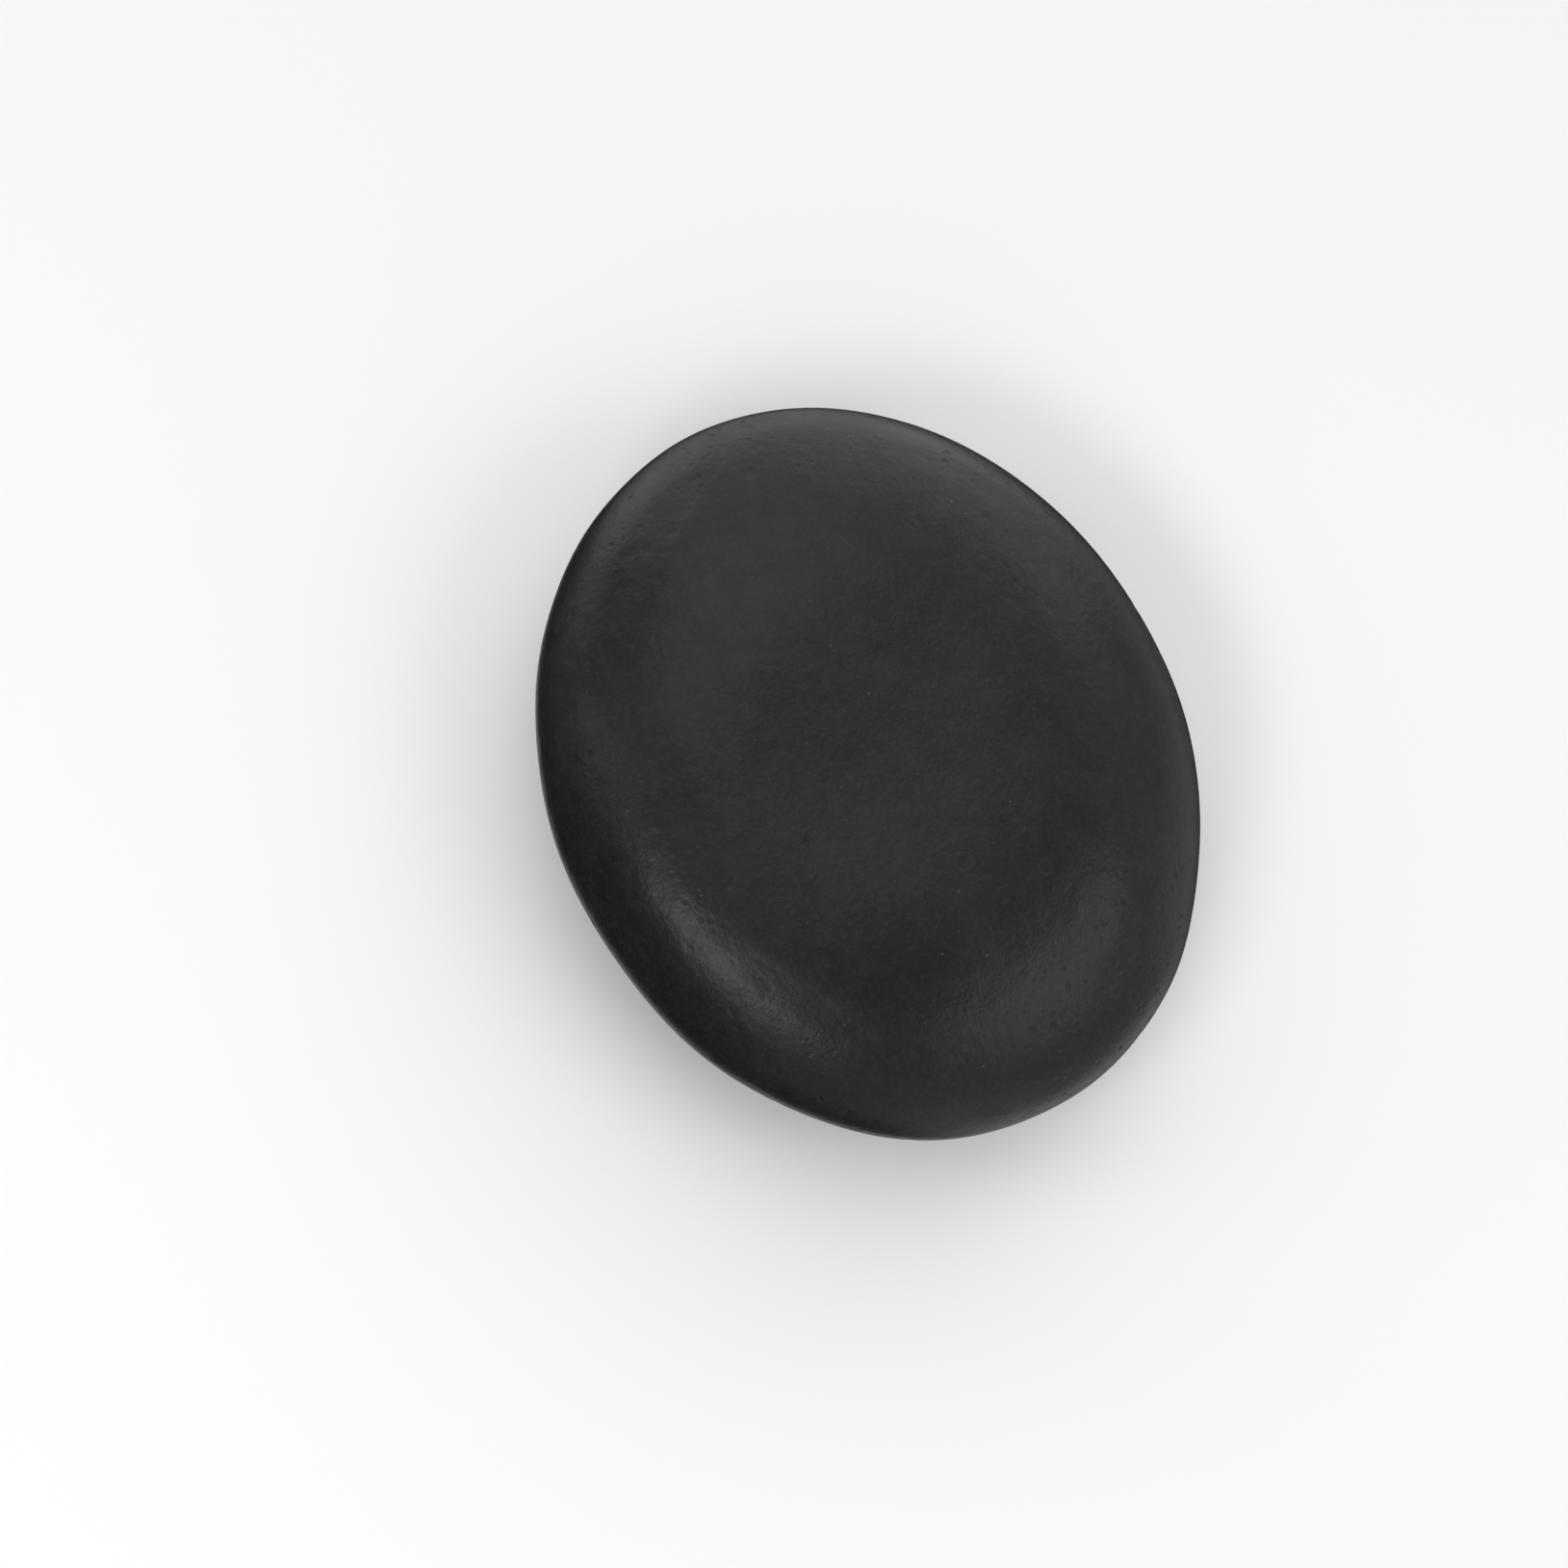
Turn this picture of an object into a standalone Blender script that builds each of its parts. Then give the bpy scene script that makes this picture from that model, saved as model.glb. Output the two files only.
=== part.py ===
"""Basalt massage stone: a flat, oval stone that is warmed, oiled and glided over the skin.

The real object is one piece of basalt, ground to an oval and tumbled until every edge is round.
It holds nothing inside and nothing is fixed to it, so the model is one solid.
Units are metres and +Z is up. +X runs along the stone's length and +Y along its width.
The origin is under the middle of the stone, on the surface that it rests on.
"""

import math

import bmesh
import bpy

# Overall size.
LENGTH = 0.100
WIDTH = 0.085
THICKNESS = 0.030

# The widest level of the rounded rim, above the surface that the stone rests on.
RIM_HEIGHT = 0.0142

# The level patch in the middle of each face, which the shoulder leaves without an edge.
BASE_LENGTH = 0.034
BASE_WIDTH = 0.029
CROWN_LENGTH = 0.028
CROWN_WIDTH = 0.023

# Roundness of a cross-section between the level patch and the rim: 2 is an elliptical arc,
# and more keeps the face level for longer before it turns down over a firmer shoulder.
BASE_FULLNESS = 2.5
CROWN_FULLNESS = 2.75
# Tumbling left the crown's shoulder firmer on one side than on the other.
FIRMER_BY = 0.20
FIRMEST_AT = math.radians(-95.0)

# Facets: spokes round the stone, and steps from a level patch to the rim.
SPOKES = 80
BASE_STEPS = 13
CROWN_STEPS = 15

BASALT_COLOUR = (0.030, 0.031, 0.032, 1.0)
BASALT_ROUGHNESS = 0.45


def clear_scene():
    """Removes whatever objects the file already holds."""
    for old in list(bpy.data.objects):
        bpy.data.objects.remove(old, do_unlink=True)


def oval_point(angle, length, width):
    """The point at this angle on an oval of these axes, centred on the origin."""
    return 0.5 * length * math.cos(angle), 0.5 * width * math.sin(angle)


def crown_fullness(angle):
    """How full the crown is in the cross-section at this angle round the stone."""
    return CROWN_FULLNESS + FIRMER_BY * math.cos(angle - FIRMEST_AT)


def base_fullness(angle):
    """How full the underside is, which is the same all the way round."""
    return BASE_FULLNESS


def ring(step, steps, patch, patch_level, fullness):
    """One closed ring of points, from the edge of a level patch (step 0) to the rim."""
    turn = 0.5 * math.pi * step / steps
    points = []
    for spoke in range(SPOKES):
        angle = 2.0 * math.pi * spoke / SPOKES
        inner_x, inner_y = oval_point(angle, *patch)
        rim_x, rim_y = oval_point(angle, LENGTH, WIDTH)
        outward = math.sin(turn) ** (2.0 / fullness(angle))
        x = inner_x + (rim_x - inner_x) * outward
        y = inner_y + (rim_y - inner_y) * outward
        z = RIM_HEIGHT + (patch_level - RIM_HEIGHT) * math.cos(turn)
        points.append((x, y, z))
    return points


def stone_rings():
    """Every ring of the stone, from the patch it rests on, over the rim, to the crown's patch."""
    base = (BASE_LENGTH, BASE_WIDTH)
    crown = (CROWN_LENGTH, CROWN_WIDTH)
    rings = [ring(step, BASE_STEPS, base, 0.0, base_fullness) for step in range(BASE_STEPS + 1)]
    for step in reversed(range(CROWN_STEPS)):
        rings.append(ring(step, CROWN_STEPS, crown, THICKNESS, crown_fullness))
    return rings


def loft(name, rings):
    """A closed mesh through these rings, with a level face on the first and on the last."""
    bm = bmesh.new()
    loops = [[bm.verts.new(point) for point in points] for points in rings]
    for lower, upper in zip(loops, loops[1:]):
        for spoke in range(SPOKES):
            following = (spoke + 1) % SPOKES
            bm.faces.new((lower[spoke], lower[following], upper[following], upper[spoke]))
    bm.faces.new(reversed(loops[0]))
    bm.faces.new(loops[-1])
    bmesh.ops.recalc_face_normals(bm, faces=bm.faces)
    mesh = bpy.data.meshes.new(name)
    bm.to_mesh(mesh)
    bm.free()
    return mesh


def basalt():
    """Oiled basalt: near-black, even, with a satin sheen."""
    material = bpy.data.materials.new("basalt")
    material.use_nodes = True
    surface = material.node_tree.nodes["Principled BSDF"]
    surface.inputs["Base Color"].default_value = BASALT_COLOUR
    surface.inputs["Roughness"].default_value = BASALT_ROUGHNESS
    surface.inputs["Metallic"].default_value = 0.0
    return material


def make_stone():
    """The stone itself, shaded smooth because it has no edge anywhere."""
    mesh = loft("stone", stone_rings())
    mesh.shade_smooth()
    mesh.materials.append(basalt())
    stone = bpy.data.objects.new("stone", mesh)
    bpy.context.scene.collection.objects.link(stone)
    return stone


clear_scene()
make_stone()
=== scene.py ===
"""Looks of the basalt massage stone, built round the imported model. Metres, +Z up."""

import math

import bmesh
import bpy
import numpy as np
from mathutils import Matrix, Vector
from mathutils.kdtree import KDTree


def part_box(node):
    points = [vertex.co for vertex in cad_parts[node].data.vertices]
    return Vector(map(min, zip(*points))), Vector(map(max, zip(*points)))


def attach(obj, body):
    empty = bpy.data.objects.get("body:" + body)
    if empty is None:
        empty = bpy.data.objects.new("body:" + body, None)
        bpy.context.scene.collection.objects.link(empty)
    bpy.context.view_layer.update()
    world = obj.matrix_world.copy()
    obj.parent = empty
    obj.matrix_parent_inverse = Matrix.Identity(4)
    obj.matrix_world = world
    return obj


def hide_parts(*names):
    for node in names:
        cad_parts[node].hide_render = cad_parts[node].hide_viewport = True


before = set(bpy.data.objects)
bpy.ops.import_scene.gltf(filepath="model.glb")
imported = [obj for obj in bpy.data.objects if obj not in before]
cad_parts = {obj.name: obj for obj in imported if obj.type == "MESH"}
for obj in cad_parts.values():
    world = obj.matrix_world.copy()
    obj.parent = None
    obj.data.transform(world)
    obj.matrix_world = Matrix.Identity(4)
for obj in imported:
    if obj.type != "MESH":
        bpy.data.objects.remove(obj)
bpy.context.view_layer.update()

# ---------------------------------------------------------------------------------------
# The stone. One piece of dense basalt, sawn to a blank, ground to an oval on a belt and
# tumbled in grit until no edge is left. Two level faces meet in a fully rounded rim.
# ---------------------------------------------------------------------------------------
stone_low, stone_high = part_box("stone")
LENGTH, WIDTH, THICKNESS = stone_high - stone_low
RIM_HEIGHT = 0.0142

# Each half: length and width of its level patch, and how full its cross-section is from
# there to the rim, where 2 is an elliptical arc and more holds the face level for longer.
CROWN_PATCH = (0.028, 0.023)
CROWN_FULLNESS = 2.75
CROWN_FIRMER_BY = 0.20
CROWN_FIRMEST_AT = math.radians(-95.0)
BASE_PATCH = (0.034, 0.029)
BASE_FULLNESS = 2.5

GRID = 128  # quads along an edge of the cube that is blown up into the ball
SECTION_SAMPLES = 2000
PATCH_SHARE = 0.22  # of the way from the middle of a face to the rim


def heading(around, up):
    """The unit vector that points this way: degrees round from +X, and degrees up."""
    around, up = math.radians(around), math.radians(up)
    return Vector((math.cos(around) * math.cos(up), math.sin(around) * math.cos(up), math.sin(up)))


def ball_directions():
    """A closed ball of even quads, as a mesh, and the unit direction of each of its points."""
    bm = bmesh.new()
    bmesh.ops.create_cube(bm, size=2.0)
    bmesh.ops.subdivide_edges(bm, edges=bm.edges[:], cuts=GRID - 1, use_grid_fill=True)
    mesh = bpy.data.meshes.new("basalt_stone")
    bm.to_mesh(mesh)
    bm.free()
    corners = np.empty(len(mesh.vertices) * 3)
    mesh.vertices.foreach_get("co", corners)
    even = np.tan(corners.reshape(-1, 3) * math.pi / 4)
    return mesh, even / np.linalg.norm(even, axis=1, keepdims=True)


def oval_reach(angle, length, width):
    """How far an oval of these axes reaches at the angle of each of its points."""
    return np.stack([0.5 * length * np.cos(angle), 0.5 * width * np.sin(angle)], axis=-1)


def section(share, patch, rim, height, fullness):
    """Points of a cross-section, at a share of the way from the middle of a face to the rim:
    how far out, as a blend of the patch's reach and the rim's, and how high over the rim."""
    turn = np.clip((share - PATCH_SHARE) / (1 - PATCH_SHARE), 0, 1) * math.pi / 2
    bulge = (np.sin(turn) ** (2.0 / fullness))[..., None]
    inside = np.clip(share / PATCH_SHARE, 0, 1)[..., None]
    return inside * patch + bulge * (rim - patch), height * np.cos(turn)


def even_shares(patch, height, fullness):
    """Shares that step evenly along the average cross-section, for spreading the quads."""
    share = np.linspace(0, 1, SECTION_SAMPLES)
    out, up = section(
        share, np.array([sum(patch) / 4]), np.array([(LENGTH + WIDTH) / 4]), height, fullness
    )
    steps = np.hypot(np.diff(out[:, 0]), np.diff(up))
    run = np.concatenate([[0], np.cumsum(steps)])
    return run / run[-1], share


def half_of_stone(angle, turn_share, patch, height, average_fullness, fullness):
    """Points on the crown half, or on the base half where height is negative."""
    run, share = even_shares(patch, abs(height), average_fullness)
    flat, up = section(
        np.interp(turn_share, run, share),
        oval_reach(angle, *patch),
        oval_reach(angle, LENGTH, WIDTH),
        height,
        fullness,
    )
    return np.column_stack([flat, RIM_HEIGHT + up])


def rolled_shape(directions):
    """Each direction's point on the ideal stone, before the belt and the grit mark it."""
    angle = np.arctan2(directions[:, 1], directions[:, 0])
    from_top = np.arccos(np.clip(directions[:, 2], -1, 1)) / (math.pi / 2)
    fuller = CROWN_FULLNESS + CROWN_FIRMER_BY * np.cos(angle - CROWN_FIRMEST_AT)
    crown = half_of_stone(
        angle, np.clip(from_top, 0, 1), CROWN_PATCH, THICKNESS - RIM_HEIGHT, CROWN_FULLNESS, fuller
    )
    base = half_of_stone(
        angle, np.clip(2 - from_top, 0, 1), BASE_PATCH, -RIM_HEIGHT, BASE_FULLNESS, BASE_FULLNESS
    )
    return np.where((from_top <= 1)[:, None], crown, base)


def set_points(mesh, points):
    mesh.vertices.foreach_set("co", points.astype(np.float32).ravel())
    mesh.update()


def outward(mesh):
    """The unit vector that points out of the stone at each of its points."""
    normals = np.empty(len(mesh.vertices) * 3)
    mesh.vertices.foreach_get("normal", normals)
    return normals.reshape(-1, 3)


def smooth_step(value, start, end):
    share = np.clip((value - start) / (end - start), 0, 1)
    return share * share * (3 - 2 * share)


# Grinding by hand leaves slow rises and hollows, which die out before the face it rests on.
SWELL = 0.00014
SWELL_WAVES = 16
SWELL_LENGTHS = (0.017, 0.045)
SWELL_STARTS = 0.001
SWELL_FULL = 0.009


def slow_swell(points, chance):
    """How far grinding by hand left each point proud of the ideal stone, or short of it."""
    height = np.zeros(len(points))
    for _ in range(SWELL_WAVES):
        runs = chance.normal(size=3)
        runs /= np.linalg.norm(runs)
        turns = points @ runs / chance.uniform(*SWELL_LENGTHS) + chance.uniform()
        height += np.cos(2 * math.pi * turns)
    fade = smooth_step(points[:, 2], SWELL_STARTS, SWELL_FULL)
    return SWELL * fade * height / math.sqrt(SWELL_WAVES / 2)


# The belt takes the shoulder down in passes. Each sweeps from one heading round the stone to
# another, looks up this steeply, all in degrees, and leaves a soft flat of this depth.
BELT_PASSES = (
    (-162, -120, 61, 0.00022),
    (-100, -82, 34, 0.00010),
    (-62, -38, 66, 0.00010),
    (-12, 10, 40, 0.00006),
    (24, 52, 63, 0.00007),
    (74, 92, 38, 0.00012),
    (112, 140, 60, 0.00010),
    (160, 176, 42, 0.00012),
)
BELT_STEP = 6
BELT_SOFTNESS = 0.00004


def belt_flats(points):
    """Presses the points back behind each flat, with no hard edge round it."""
    ground = points
    for start, end, up, depth in BELT_PASSES:
        for around in range(start, end + 1, BELT_STEP):
            facing = np.array(heading(around, up))
            proud = ground @ facing - (points @ facing).max() + depth
            press = BELT_SOFTNESS * np.logaddexp(0, proud / BELT_SOFTNESS)
            ground = ground - press[:, None] * facing
    return ground


# Gas bubbles in the rock that the grinding cut open. Tumbling wipes them off the level
# faces first, so most of those left are on the shoulder and the rim.
PIT_TRIES = 2000
PIT_RADII = (0.0004, 0.0013)
PIT_SPREAD = (1.2, 4.0)  # shape of the spread of radii, with many more small pits than large
PIT_STEEPNESS = 0.09  # a pit's depth for its radius
PIT_ON_LEVEL = 0.05  # how often one is left on a level face


def cut_bubbles(points, normals, rolled, chance):
    """How deep each point lies in an opened bubble."""
    tree = KDTree(len(points))
    for index, point in enumerate(points):
        tree.insert(point, index)
    tree.balance()
    depth = np.zeros(len(points))
    for middle in chance.integers(len(points), size=PIT_TRIES):
        radius = PIT_RADII[0] + (PIT_RADII[1] - PIT_RADII[0]) * chance.beta(*PIT_SPREAD)
        if chance.uniform() > PIT_ON_LEVEL + (1 - PIT_ON_LEVEL) * rolled[middle]:
            continue
        for _, index, distance in tree.find_range(points[middle], radius):
            bowl = (1 - (distance / radius) ** 2) ** 2
            depth[index] = max(depth[index], PIT_STEEPNESS * radius * bowl)
    return depth


SEED = 27

chance = np.random.default_rng(SEED)
ball, directions = ball_directions()
points = rolled_shape(directions)
set_points(ball, points)
points += outward(ball) * slow_swell(points, chance)[:, None]
points = belt_flats(points)
set_points(ball, points)
normals = outward(ball)

# 0 on the level faces and 1 where the surface has turned well down over the shoulder.
ROLL_STARTS = 0.012
ROLL_FULL = 0.09
rolled = smooth_step(1 - np.abs(normals[:, 2]), ROLL_STARTS, ROLL_FULL)
points -= normals * cut_bubbles(points, normals, rolled, chance)[:, None]
points[:, 2] = np.maximum(points[:, 2], 0.0)
set_points(ball, points)
ball.shade_smooth()
ball.attributes.new("rolled", "FLOAT", "POINT").data.foreach_set("value", rolled)

stone = bpy.data.objects.new("basalt_stone", ball)
bpy.context.scene.collection.objects.link(stone)
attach(stone, "root")
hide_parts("stone")


class Finish:
    """The nodes of a material or of the room's light; node() adds one node to them."""

    def __init__(self, owner):
        owner.use_nodes = True
        self.tree = owner.node_tree
        self.tree.nodes.clear()

    def node(self, kind, settings=None, inputs=None, output=0):
        made = self.tree.nodes.new(kind)
        for name, value in (settings or {}).items():
            setattr(made, name, value)
        for name, value in (inputs or {}).items():
            if isinstance(value, Level):
                self.tree.links.new(value.socket, made.inputs[name])
            else:
                made.inputs[name].default_value = value
        return Level(self, made.outputs[output]) if made.outputs else made


class Level:
    """A value that changes over a surface; arithmetic on it adds Math nodes."""

    def __init__(self, finish, socket):
        self.finish = finish
        self.socket = socket

    def maths(self, operation, first, second):
        return self.finish.node(
            "ShaderNodeMath", {"operation": operation}, {0: first, 1: second}
        )

    def __add__(self, other):
        return self.maths("ADD", self, other)

    __radd__ = __add__

    def __mul__(self, other):
        return self.maths("MULTIPLY", self, other)

    __rmul__ = __mul__

    def __sub__(self, other):
        return self.maths("SUBTRACT", self, other)

    def __rsub__(self, other):
        return self.maths("SUBTRACT", other, self)

    def above(self, least):
        """1 where the value is over this least one, and 0 elsewhere."""
        return self.maths("GREATER_THAN", self, least)

    def off(self, middle):
        """How far the value is from a middle one, either way."""
        return self.finish.node("ShaderNodeMath", {"operation": "ABSOLUTE"}, {0: self - middle})

    def rise(self, start, end):
        """0 up to start and 1 from end on, with a smooth rise between; start may be larger."""
        return self.finish.node(
            "ShaderNodeMapRange",
            {"interpolation_type": "SMOOTHSTEP"},
            {"Value": self, "From Min": start, "From Max": end},
        )


MILLIMETRES = 1000.0  # in a metre

oiled_basalt = bpy.data.materials.new("oiled_basalt")
finish = Finish(oiled_basalt)
metres = finish.node("ShaderNodeTexCoord", output="Object")
# Every size in this finish is in millimetres on the stone.
place = finish.node(
    "ShaderNodeVectorMath", {"operation": "SCALE"}, {0: metres, "Scale": MILLIMETRES}
)
on_roll = finish.node("ShaderNodeAttribute", {"attribute_name": "rolled"}, output="Fac")


def cloud(size, detail=2.0, roughness=0.5, spot=place):
    """Soft random patches of about this size, running from 0 to 1 round 0.5."""
    return finish.node(
        "ShaderNodeTexNoise",
        None,
        {"Vector": spot, "Scale": 1.0 / size, "Detail": detail, "Roughness": roughness},
    )


def scattered_dots(spacing, radius, kept):
    """Round dots, one at most to each cell of this spacing, in this share of the cells."""
    sockets = {"Vector": place, "Scale": 1.0 / spacing}
    away = finish.node("ShaderNodeTexVoronoi", None, sockets, "Distance")
    lot = finish.node("ShaderNodeTexVoronoi", None, sockets, "Color")
    lot = finish.node("ShaderNodeSeparateColor", None, {"Color": lot}, "Red")
    return (away * spacing).rise(radius, 0.35 * radius) * lot.above(1.0 - kept)


def blended(amount, first, second):
    """The first colour where the amount is 0, and the second where it is 1."""
    return finish.node(
        "ShaderNodeMix", {"data_type": "RGBA"}, {0: amount, 6: first, 7: second}, output=2
    )


# Colour: the ground mass runs from black to a slightly cool dark grey in slow drifts, with
# feldspar grains of a fraction of a millimetre in it and a few pale crystals.
BLACK_GROUND = (0.0080, 0.0083, 0.0087, 1.0)
GREY_GROUND = (0.0146, 0.0150, 0.0156, 1.0)
FELDSPAR = (0.0240, 0.0243, 0.0243, 1.0)
PALE_CRYSTAL = (0.115, 0.113, 0.106, 1.0)
SCUFFED = (0.060, 0.061, 0.062, 1.0)
DRIFT_SIZE = 24.0
MOTTLE_SIZE = 3.6
GRAIN_SIZE = 0.75
FELDSPAR_SIZE = 0.6
CRYSTAL_SPACING = 2.3
CRYSTAL_RADIUS = 0.21

drift = cloud(DRIFT_SIZE, 3.0, 0.55)
mottle = cloud(MOTTLE_SIZE, 3.0, 0.6)
grain = cloud(GRAIN_SIZE, 3.0, 0.65)
ground = blended(
    0.5 + 1.2 * (drift - 0.5) + 1.9 * (mottle - 0.5) + 1.6 * (grain - 0.5),
    BLACK_GROUND,
    GREY_GROUND,
)
feldspar = cloud(FELDSPAR_SIZE, 2.0, 0.5).rise(0.58, 0.74)
crystals = scattered_dots(CRYSTAL_SPACING, CRYSTAL_RADIUS, 0.40)
crystals = crystals * cloud(5.0, 1.0, 0.5).rise(0.38, 0.64)
ground = blended(0.45 * feldspar, ground, FELDSPAR)
ground = blended(0.45 * crystals, ground, PALE_CRYSTAL)

# Pores too small for the shape: pinholes everywhere, thicker over the shoulder and the rim,
# where the grit could not reach the bottom of them. Their colour is darkened towards the black of the
# ground mass: painted shade in the hollows.
flat_place = finish.node(
    "ShaderNodeVectorMath", {"operation": "MULTIPLY"}, {0: place, 1: (1, 1, 0)}
)
outwards = finish.node("ShaderNodeVectorMath", {"operation": "NORMALIZE"}, {0: flat_place})


def side_facing(around, edge):
    """1 on the side of the stone that faces this way, fading to 0 at this cosine off it."""
    towards = finish.node(
        "ShaderNodeVectorMath",
        {"operation": "DOT_PRODUCT"},
        {0: outwards, 1: heading(around, 0.0)},
        "Value",
    )
    return towards.rise(edge, 1.0)


# Where the pores crowd together: in patches, and most of all on the firmer shoulder and on
# the two ends that stood out most before the stone was tumbled.
battered = (
    0.03 * side_facing(-78.0, 0.55) + 0.30 * side_facing(20.0, 0.82) + 0.08 * side_facing(168.0, 0.75)
)
broken = (cloud(9.0, 2.0, 0.6) + battered).rise(0.47, 0.70) * on_roll
pinholes = scattered_dots(0.9, 0.30, 0.35) * (0.08 + 0.92 * broken)
pores = scattered_dots(1.7, 0.60, 0.50) * broken
crumbled = cloud(0.8, 2.0, 0.6)


def streaks(breadth, turn):
    """Fine scuffs that run one way, from chips in the tumbler dragging over the stone."""
    turned = finish.node(
        "ShaderNodeMapping",
        {"vector_type": "TEXTURE"},
        {"Vector": place, "Rotation": (0.0, 0.0, math.radians(turn)), "Scale": (4.0, breadth, 4.0)},
    )
    return cloud(1.0, 1.0, 0.4, turned).rise(0.755, 0.80)


# Knocks from other stones: the bruise's place along and across the crown, and its radius.
BRUISES = ((22.6, 9.8, 1.0), (17.4, 0.4, 1.2))
BRUISE_BAND = 0.28
BRUISE_STRENGTH = 0.6


def bruise(along, across, radius):
    """A faint ring where a rounded chip struck the crown."""
    away = finish.node(
        "ShaderNodeVectorMath",
        {"operation": "DISTANCE"},
        {0: place, 1: (along, across, MILLIMETRES * THICKNESS)},
        "Value",
    )
    return away.off(radius).rise(BRUISE_BAND, 0.0)


# A scuff's breadth in millimetres and the way it runs, in degrees from the stone's length.
STREAKS = ((0.16, 24.0), (0.13, -57.0), (0.15, 81.0))

scuffs = streaks(*STREAKS[0]) + streaks(*STREAKS[1]) + streaks(*STREAKS[2])
for along, across, radius in BRUISES:
    scuffs = scuffs + BRUISE_STRENGTH * bruise(along, across, radius)
ground = blended(0.14 * scuffs, ground, SCUFFED)
# Pores and pinholes are darkened towards black: painted shade in their hollows.
ground = blended(0.35 * pores + 0.25 * pinholes, ground, BLACK_GROUND)

# Gloss: oil has soaked in unevenly, so a satin sheen drifts over the stone. Pores, the
# floors of pits and scuffs stay dull.
SATIN = 0.285
film = cloud(13.0, 2.0, 0.5)
gloss = SATIN + 0.16 * (film - 0.5) + 0.07 * (grain - 0.5)
gloss = gloss + 0.05 * on_roll + 0.16 * pores + 0.12 * pinholes + 0.10 * scuffs

# Relief, in millimetres: the tumbler's ripple, the grain standing out, pores and crystals.
ripple = cloud(2.6, 2.0, 0.5)
tooth = cloud(0.42, 2.0, 0.6)
relief = 0.085 * ripple + 0.045 * grain + 0.020 * tooth + 0.004 * crystals
relief = relief + 0.048 * broken * crumbled - 0.060 * pores - 0.035 * pinholes - 0.004 * scuffs
bumped = finish.node(
    "ShaderNodeBump", None, {"Strength": 1.0, "Distance": 1.0 / MILLIMETRES, "Height": relief}
)
surface = finish.node(
    "ShaderNodeBsdfPrincipled",
    None,
    {"Base Color": ground, "Roughness": gloss, "Specular IOR Level": 0.25, "Normal": bumped},
)
finish.node("ShaderNodeOutputMaterial", None, {"Surface": surface})
ball.materials.append(oiled_basalt)

# ---------------------------------------------------------------------------------------
# The table: plain matt white board under the stone, wide enough to fill every view.
# ---------------------------------------------------------------------------------------
TABLE_SIZE = 6.0
BOARD_WHITE = (0.90, 0.90, 0.90, 1.0)

bpy.ops.mesh.primitive_plane_add(size=TABLE_SIZE)
table = bpy.context.object
table.name = "pale_table"
matt_board = bpy.data.materials.new("matt_board")
board = Finish(matt_board)
board_surface = board.node(
    "ShaderNodeBsdfPrincipled",
    None,
    {"Base Color": BOARD_WHITE, "Roughness": 0.9, "Specular IOR Level": 0.1},
)
board.node("ShaderNodeOutputMaterial", None, {"Surface": board_surface})
table.data.materials.append(matt_board)
table.visible_glossy = False

# Only the board close round the stone shows in its polish, as if the rest were out in the
# dark of the studio. It lies this far over the board, and reaches this far past the stone.
SHEEN_LIFT = 0.00002
SHEEN_REACH = 0.005
SHEEN_SIDES = 96

bpy.ops.mesh.primitive_circle_add(
    vertices=SHEEN_SIDES, radius=1.0, fill_type="NGON", location=(0.0, 0.0, SHEEN_LIFT)
)
near_board = bpy.context.object
near_board.name = "board_near_stone"
near_board.scale = (LENGTH / 2 + SHEEN_REACH, WIDTH / 2 + SHEEN_REACH, 1.0)
near_board.data.materials.append(matt_board)
near_board.visible_camera = False
near_board.visible_diffuse = False
near_board.visible_shadow = False

# ---------------------------------------------------------------------------------------
# The light: a white studio that is bright beyond the stone and dark on its near side, and
# soft panels round the table. Directions are degrees round from +X, and up.
# ---------------------------------------------------------------------------------------
middle = (stone_low + stone_high) / 2

studio = bpy.data.worlds.new("studio")
bpy.context.scene.world = studio
room = Finish(studio)
looking = room.node("ShaderNodeTexCoord", output="Generated")


def pale_wall(around, up, edge, full):
    """A bright part of the room, by the cosine off its middle where it starts and is full."""
    towards = room.node(
        "ShaderNodeVectorMath",
        {"operation": "DOT_PRODUCT"},
        {0: looking, 1: heading(around, up)},
        "Value",
    )
    return towards.rise(edge, full)


BACKDROP = 0.90  # what the camera sees beyond the table
DIM = 0.03  # the unlit parts of the room

brightness = (
    DIM
    + 0.35 * pale_wall(0.0, 90.0, 0.30, 0.90)  # the ceiling
    + 0.50 * pale_wall(95.0, 12.0, 0.55, 0.90)  # the wall beyond the stone, right of its middle
    + 0.90 * pale_wall(157.0, 0.0, 0.62, 0.90)  # the same wall, left of its middle
    + 0.60 * pale_wall(135.0, 5.0, 0.80, 0.97)  # where those two meet
    + 1.05 * pale_wall(188.0, 5.0, 0.82, 0.97)  # the corner to the left
    + 0.78 * pale_wall(176.0, 66.0, 0.84, 0.97)  # a light patch of ceiling to the left
    + 0.40 * pale_wall(150.0, 50.0, 0.82, 0.97)  # the slope from that patch to the wall
    + 0.50 * pale_wall(30.0, -10.0, 0.50, 0.90)  # the wall to the right
    + 0.38 * pale_wall(28.0, -42.0, 0.88, 0.99)  # the floor in front of it
    + 0.45 * pale_wall(338.0, 8.0, 0.65, 0.95)  # the near corner to the right
    + 0.25 * pale_wall(228.0, -8.0, 0.88, 0.99)  # the near corner to the left
)
straight = room.node("ShaderNodeLightPath", output="Is Camera Ray")
white_room = room.node(
    "ShaderNodeBackground",
    None,
    {"Color": (1.0, 1.0, 1.0, 1.0), "Strength": straight * BACKDROP + (1 - straight) * brightness},
)
room.node("ShaderNodeOutputWorld", None, {"Surface": white_room})

PANEL_DISTANCE = 1.0


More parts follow.
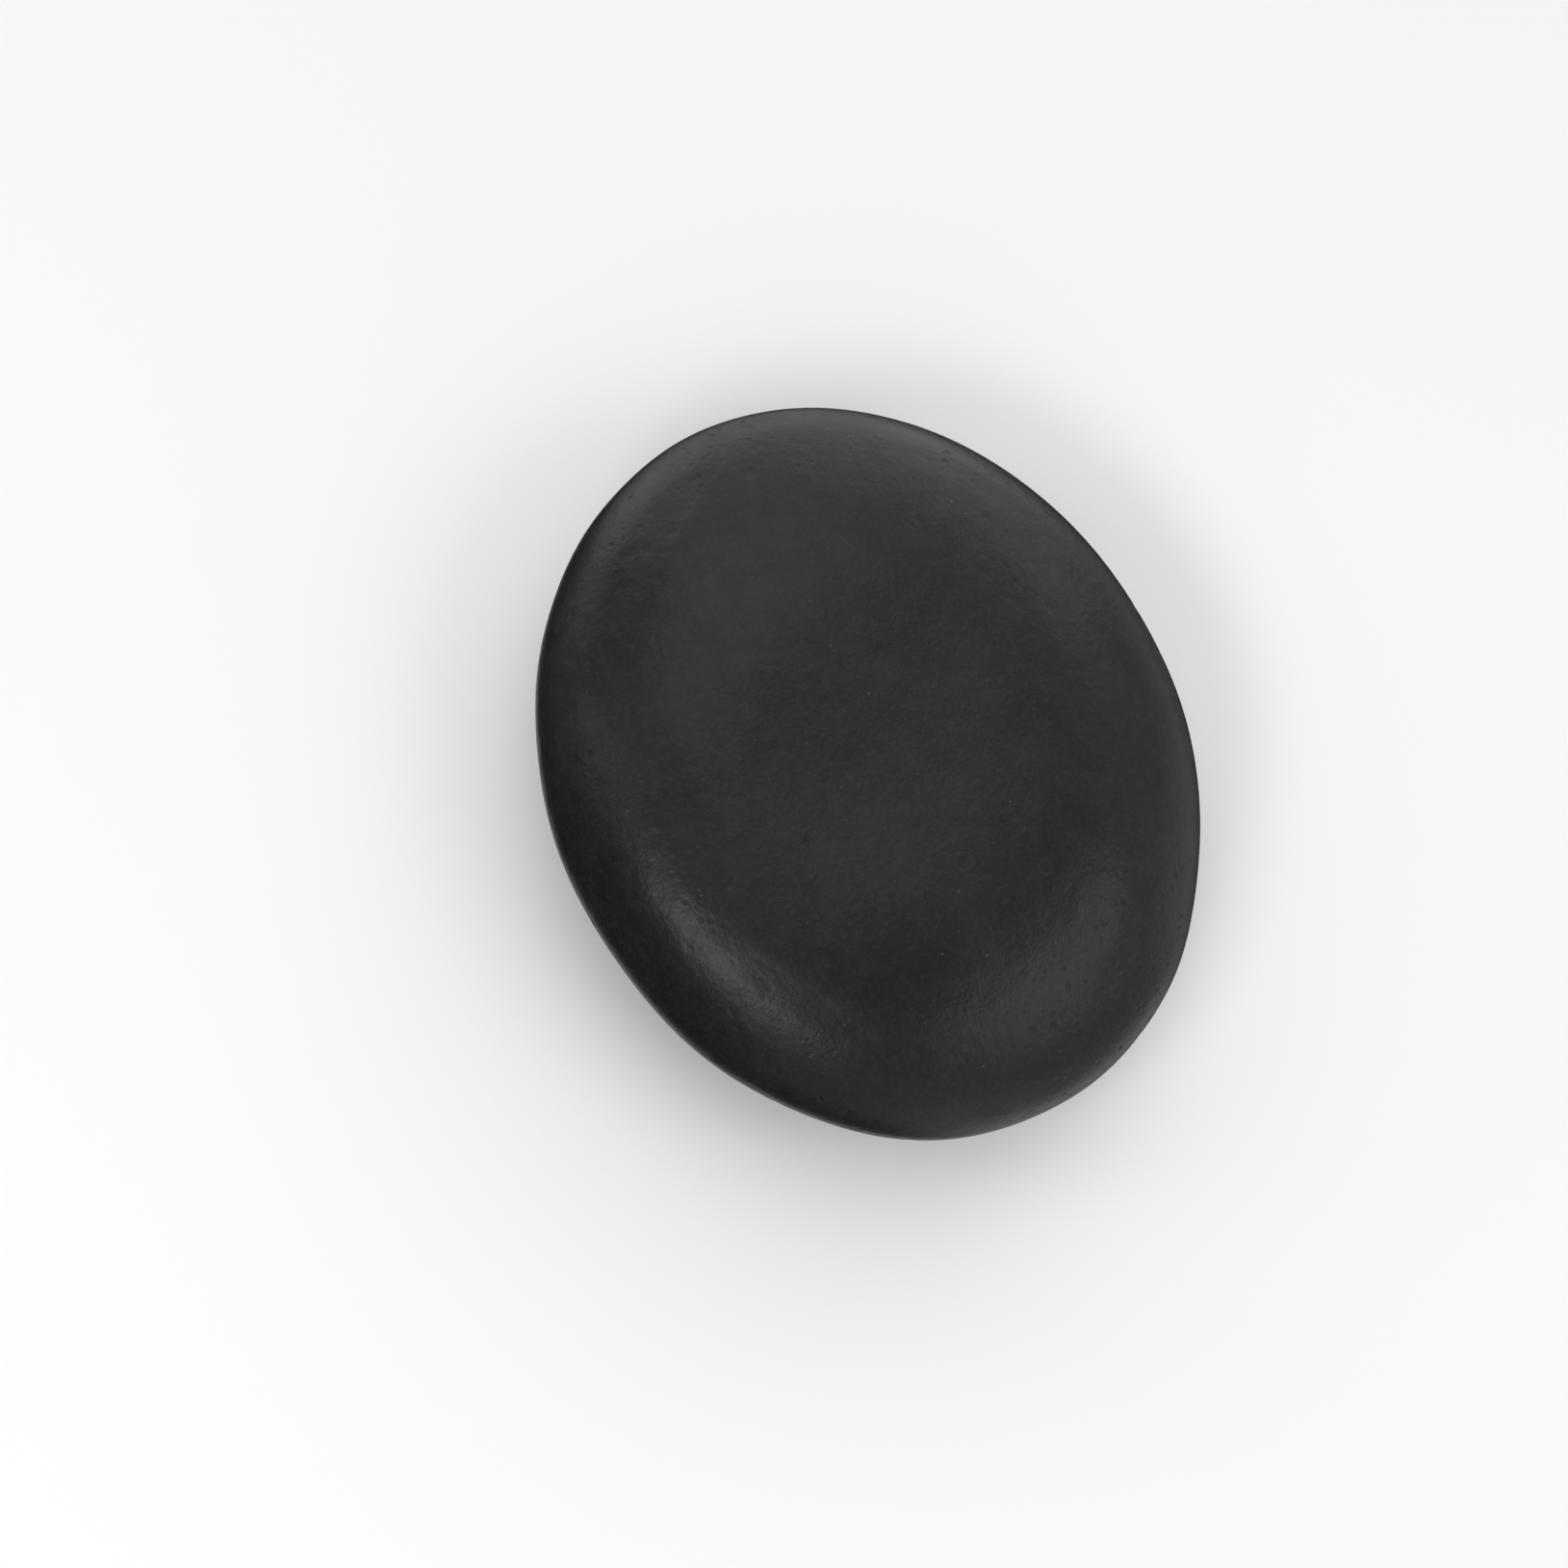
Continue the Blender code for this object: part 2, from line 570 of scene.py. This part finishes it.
def soft_panel(name, around, up, width, height, brightness):
    """A softbox that faces the stone; width runs level. It is given the brightness of its face."""
    lamp = bpy.data.lights.new(name, "AREA")
    lamp.shape = "RECTANGLE"
    lamp.size, lamp.size_y = width, height
    lamp.energy = brightness * math.pi * width * height
    panel = bpy.data.objects.new(name, lamp)
    panel.location = middle + heading(around, up) * PANEL_DISTANCE
    panel.rotation_euler = heading(around, up).to_track_quat("Z", "Y").to_euler()
    panel.visible_camera = False
    bpy.context.scene.collection.objects.link(panel)


soft_panel("near_softbox", 286.0, 44.0, 0.52, 0.22, 7.6)
soft_panel("near_low_softbox", 302.0, 30.0, 0.20, 0.30, 2.0)
soft_panel("right_softbox", 36.0, 45.0, 0.70, 0.40, 1.9)
soft_panel("left_softbox", 236.0, 27.0, 0.28, 0.60, 1.7)
soft_panel("far_softbox", 112.0, 28.0, 0.40, 0.34, 1.2)

# ---------------------------------------------------------------------------------------
# The camera: looks down on the stone from its near side, with the stone's length running
# from the upper left of the frame to the lower right.
# ---------------------------------------------------------------------------------------
CAMERA_AROUND = 293.0
CAMERA_UP = 73.0
LENGTH_DROPS = math.radians(63.0)  # how steeply the stone's length runs down the frame
CAMERA_DISTANCE = 0.4826
STONE_RIGHT = 0.0116  # how far the stone lies right of the frame's middle, and above it
STONE_UP = 0.0022

back = heading(CAMERA_AROUND, CAMERA_UP)
stone_length = Vector((1.0, 0.0, 0.0))
seen_length = (stone_length - back * stone_length.dot(back)).normalized()
right = seen_length * math.cos(LENGTH_DROPS) + back.cross(seen_length) * math.sin(LENGTH_DROPS)
up = back.cross(right)
lens = bpy.data.cameras.new("camera")
lens.lens = 85.0
lens.sensor_width = 36.0
lens.clip_start = 0.01
camera = bpy.data.objects.new("camera", lens)
viewpoint = middle + back * CAMERA_DISTANCE - right * STONE_RIGHT - up * STONE_UP
turned = Matrix((right, up, back)).transposed().to_4x4()
camera.matrix_world = Matrix.Translation(viewpoint) @ turned
bpy.context.scene.collection.objects.link(camera)
bpy.context.scene.camera = camera
bpy.context.scene.view_settings.view_transform = "Standard"
